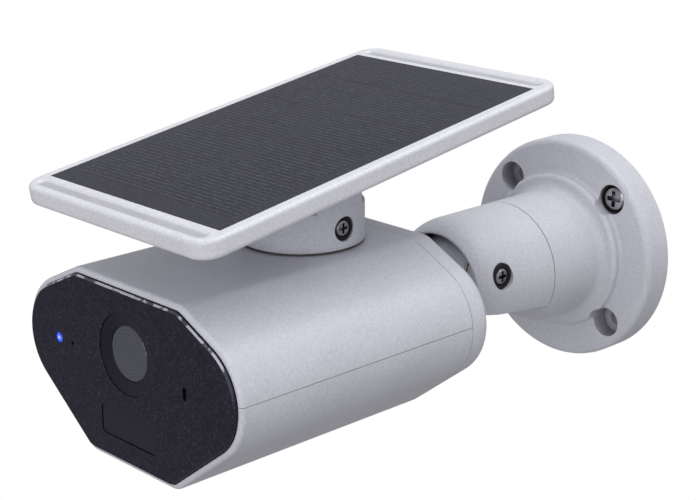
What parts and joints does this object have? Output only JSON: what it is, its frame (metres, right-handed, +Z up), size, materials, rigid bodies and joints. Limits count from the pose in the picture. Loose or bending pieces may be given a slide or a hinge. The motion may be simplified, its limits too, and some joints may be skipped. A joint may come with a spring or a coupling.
{
  "type": "solar-powered security camera",
  "caption": "Wall-mounted camera in a six-sided housing with a dark front, a tilting solar panel on a turret above and a swivelling hooded bracket behind.",
  "frame": {"origin": "centre of the wall plate's back, on the bracket's axis", "axes": "+Y into the wall, the lens looks along -Y, +Z up, +X to the right of someone facing the lens"},
  "size_m": [0.0978, 0.2065, 0.1131],
  "materials": {
    "white_plastic": "cool white, fine-grained satin moulding",
    "black_cover": "near-black polished cover",
    "dark_plastic": "black moulding",
    "window": "dark infrared-clear window",
    "glass": "coated lens glass",
    "led": "clear light pipe, lit blue",
    "rubber": "dark seal rubber",
    "steel": "zinc-plated steel",
    "brass": "turned brass",
    "washer": "acetal washer",
    "solar": "dark mono-crystalline laminate",
    "board": "green solder mask",
    "cell": "sleeved cell, density near that of aluminium",
    "shield": "tinned shield"
  },
  "bodies": {
    "wall_base": {"wall_plate": "white_plastic", "base_pad": "rubber", "wall_screw": "steel", "wall_screw_seal": "rubber"},
    "swivel_hood": {"hood": "white_plastic", "pivot_screw": "steel", "pivot_seal": "rubber", "pivot_nut": "steel", "swivel_washer": "washer", "swivel_bolt": "steel"},
    "arm": {"knuckle_arm": "white_plastic", "friction_washers": "washer", "lock_ring": "white_plastic"},
    "camera_body": {"upper_shell": "white_plastic", "lower_shell": "white_plastic", "rear_cap": "white_plastic", "port_housing": "white_plastic", "cap_screws": "steel", "stem_insert": "brass", "speaker": "dark_plastic", "usb_socket": "shield", "port_board": "board", "front_cover": "black_cover", "cover_gasket": "rubber", "lens_bezel": "dark_plastic", "lens_window": "glass", "lens_barrel": "dark_plastic", "lens_element": "glass", "camera_module": "dark_plastic", "front_board": "board", "board_screws": "steel", "motion_window": "window", "motion_sensor": "shield", "status_light": "led", "light_sensor": "dark_plastic", "microphone": "shield", "main_board": "board", "main_board_screws": "steel", "radio_shield": "shield", "antenna": "board", "battery_cells": "cell", "battery_tray": "dark_plastic", "turret_bearing": "washer"},
    "turret_head": {"turret": "white_plastic", "turret_retainer": "dark_plastic", "retainer_screws": "steel", "hinge_screw": "steel", "hinge_seal": "rubber", "hinge_nut": "steel"},
    "panel": {"panel_lug": "white_plastic", "lug_screws": "steel", "panel_back": "white_plastic", "panel_screws": "steel", "panel_frame": "white_plastic", "solar_cells": "solar"},
    "flap": {"port_flap": "white_plastic"},
    "reset": {"reset_button": "dark_plastic"}
  },
  "joints": [
    {"name": "bracket_swivel", "type": "hinge", "parent": "wall_base", "child": "swivel_hood", "pos_m": [0, -0.041, 0], "axis": [0, 1, 0], "range_deg": [-90, 90]},
    {"name": "arm_tilt", "type": "hinge", "parent": "swivel_hood", "child": "arm", "pos_m": [0, -0.066, 0.0064], "axis": [1, 0, 0], "range_deg": [-15, 80]},
    {"name": "camera_roll", "type": "hinge", "parent": "arm", "child": "camera_body", "pos_m": [0, -0.104, 0.003], "axis": [0, 1, 0], "range_deg": [-45, 45]},
    {"name": "panel_pan", "type": "hinge", "parent": "camera_body", "child": "turret_head", "pos_m": [0, -0.1355, 0.0299], "axis": [0, 0, 1], "range_deg": [-170, 170]},
    {"name": "panel_tilt", "type": "hinge", "parent": "turret_head", "child": "panel", "pos_m": [0, -0.1355, 0.0367], "axis": [1, 0, 0], "range_deg": [-26, 9]},
    {"name": "flap_hinge", "type": "hinge", "parent": "camera_body", "child": "flap", "pos_m": [0, -0.1044, -0.0197], "axis": [-1, 0, 0], "range_deg": [0, 95]},
    {"name": "reset_press", "type": "slide", "parent": "camera_body", "child": "reset", "axis": [0, -1, 0], "range_m": [0, 0.0005], "stiffness_N_per_m": 500}
  ]
}
